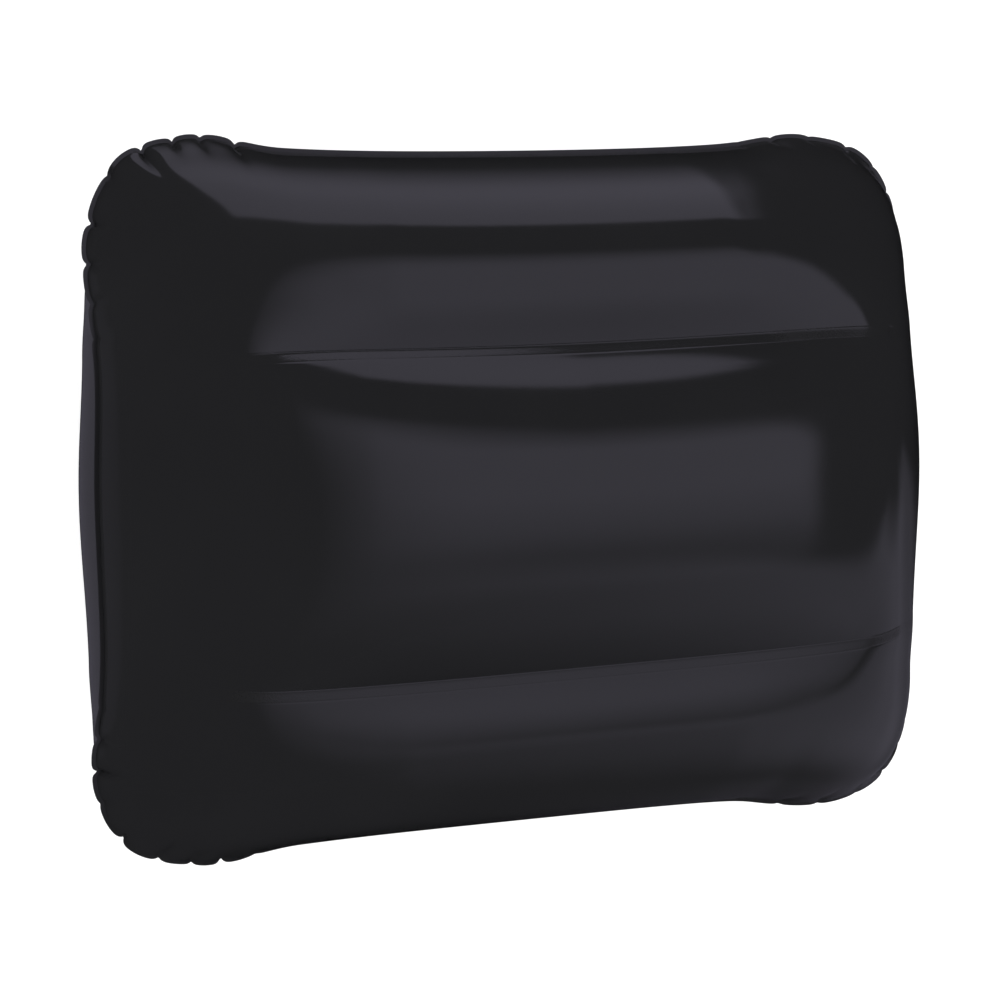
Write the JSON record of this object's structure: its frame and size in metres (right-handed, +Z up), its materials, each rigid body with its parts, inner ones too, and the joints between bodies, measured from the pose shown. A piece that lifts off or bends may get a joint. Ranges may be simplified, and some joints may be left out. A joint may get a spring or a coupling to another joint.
{
  "type": "inflatable camp pillow",
  "caption": "Inflatable pillow of glossy black sheet: welded rim, inner baffles that shape it into lobes, and a press-in air valve with a plug on a strap.",
  "frame": {"origin": "middle of the underside, where the pillow rests on a flat surface on its back sheet", "axes": "+X along the pillow's long direction, +Y across the lobes, +Z up through the front sheet"},
  "size_m": [0.331, 0.2592, 0.1537],
  "materials": {
    "sheet": "glossy soft vinyl sheet",
    "baffle": "soft vinyl sheet",
    "valve": "moulded soft vinyl, semi-gloss"
  },
  "bodies": {
    "pillow": {"front_panel": "sheet", "back_panel": "sheet", "upper_baffle": "baffle", "lower_baffle": "baffle", "valve_flange": "valve"},
    "stem": {"valve_stem": "valve"},
    "flap": {"check_flap": "valve"},
    "plug": {"valve_plug": "valve", "plug_strap": "valve"}
  },
  "joints": [
    {"name": "stem_slide", "type": "slide", "parent": "pillow", "child": "stem", "axis": [0.6648, 0, -0.7471], "range_m": [0, 0.009]},
    {"name": "plug_hinge", "type": "hinge", "parent": "stem", "child": "plug", "pos_m": [0.1449, 0, 0.02846], "axis": [0, -1, 0], "range_deg": [0, 140]},
    {"name": "flap_hinge", "type": "hinge", "parent": "stem", "child": "flap", "pos_m": [0.12925, 0, 0.04003], "axis": [0, 1, 0], "range_deg": [0, 60], "stiffness_Nm_per_rad": 0.00005, "springref_deg": -5.73}
  ]
}
